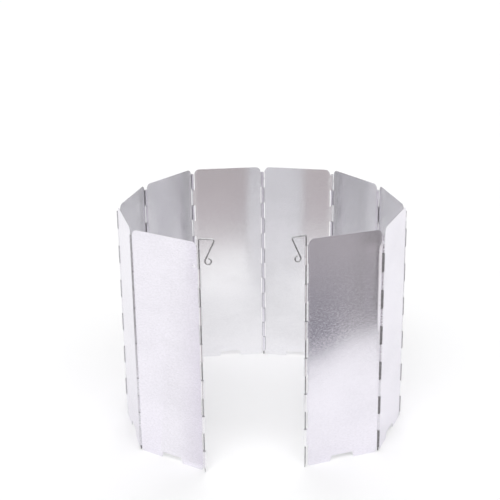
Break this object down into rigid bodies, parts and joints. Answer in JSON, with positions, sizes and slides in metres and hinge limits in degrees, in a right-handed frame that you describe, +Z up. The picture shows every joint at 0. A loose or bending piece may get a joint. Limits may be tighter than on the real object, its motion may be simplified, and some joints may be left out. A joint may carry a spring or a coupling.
{
  "type": "stove windscreen",
  "caption": "Folding camp stove windscreen: sheet-aluminium panels hinged on wire pins stand as an open ring around a burner, with a hooked wire stake in each free edge.",
  "frame": {"origin": "middle of the standing ring's box, on the ground plane that the panels' feet stand on", "axes": "+Z up; -Y towards the open front of the ring; +X to the right seen from the front"},
  "size_m": [0.3012, 0.2843, 0.2453],
  "materials": {
    "sheet": "satin mill finish",
    "pin_wire": "drawn wire",
    "stake_wire": "drawn wire"
  },
  "bodies": {
    "panel_01": {"panel_01": "sheet", "hinge_pin_01": "pin_wire"},
    "panel_02": {"panel_02": "sheet", "hinge_pin_02": "pin_wire"},
    "panel_03": {"panel_03": "sheet", "hinge_pin_03": "pin_wire"},
    "panel_04": {"panel_04": "sheet", "hinge_pin_04": "pin_wire"},
    "panel_05": {"panel_05": "sheet", "hinge_pin_05": "pin_wire"},
    "panel_06": {"panel_06": "sheet", "hinge_pin_06": "pin_wire"},
    "panel_07": {"panel_07": "sheet", "hinge_pin_07": "pin_wire"},
    "panel_08": {"panel_08": "sheet", "hinge_pin_08": "pin_wire"},
    "panel_09": {"panel_09": "sheet", "hinge_pin_09": "pin_wire"},
    "panel_10": {"panel_10": "sheet"},
    "stake_left": {"end_stake_left": "stake_wire"},
    "stake_right": {"end_stake_right": "stake_wire"}
  },
  "joints": [
    {"name": "hinge_05", "type": "hinge", "parent": "panel_05", "child": "panel_06", "pos_m": [0.00236, 0.14054, 0.12], "axis": [0, 0, -1], "range_deg": [0, 162.4]},
    {"name": "hinge_06", "type": "hinge", "parent": "panel_06", "child": "panel_07", "pos_m": [0.0835, 0.12565, 0.12], "axis": [0, 0, -1], "range_deg": [-223.31, 0]},
    {"name": "hinge_07", "type": "hinge", "parent": "panel_07", "child": "panel_08", "pos_m": [0.12904, 0.05685, 0.12], "axis": [0, 0, -1], "range_deg": [0, 157.71]},
    {"name": "hinge_08", "type": "hinge", "parent": "panel_08", "child": "panel_09", "pos_m": [0.149, -0.0232, 0.12], "axis": [0, 0, -1], "range_deg": [-213.61, 0]},
    {"name": "hinge_09", "type": "hinge", "parent": "panel_09", "child": "panel_10", "pos_m": [0.11756, -0.09947, 0.12], "axis": [0, 0, -1], "range_deg": [0, 132.31]},
    {"name": "hinge_04", "type": "hinge", "parent": "panel_05", "child": "panel_04", "pos_m": [-0.0799, 0.13421, 0.12], "axis": [0, 0, 1], "range_deg": [-227.21, 0]},
    {"name": "hinge_03", "type": "hinge", "parent": "panel_04", "child": "panel_03", "pos_m": [-0.12792, 0.06713, 0.12], "axis": [0, 0, 1], "range_deg": [0, 156.41]},
    {"name": "hinge_02", "type": "hinge", "parent": "panel_03", "child": "panel_02", "pos_m": [-0.149, -0.01264, 0.12], "axis": [0, 0, 1], "range_deg": [-207.81, 0]},
    {"name": "hinge_01", "type": "hinge", "parent": "panel_02", "child": "panel_01", "pos_m": [-0.12653, -0.09202, 0.12], "axis": [0, 0, 1], "range_deg": [0, 137.51]},
    {"name": "stake_left_slide", "type": "slide", "parent": "panel_01", "child": "stake_left", "axis": [0, 0, 1], "range_m": [-0.025, 0.04]},
    {"name": "stake_right_slide", "type": "slide", "parent": "panel_10", "child": "stake_right", "axis": [0, 0, 1], "range_m": [-0.007, 0.04]}
  ],
  "couplings": [
    {"joint": "hinge_06", "follows": "hinge_05", "ratio": -1.375},
    {"joint": "hinge_07", "follows": "hinge_05", "ratio": 0.97106},
    {"joint": "hinge_08", "follows": "hinge_05", "ratio": -1.3153},
    {"joint": "hinge_09", "follows": "hinge_05", "ratio": 0.81466},
    {"joint": "hinge_04", "follows": "hinge_05", "ratio": -1.399},
    {"joint": "hinge_03", "follows": "hinge_05", "ratio": 0.96305},
    {"joint": "hinge_02", "follows": "hinge_05", "ratio": -1.2796},
    {"joint": "hinge_01", "follows": "hinge_05", "ratio": 0.84667}
  ]
}
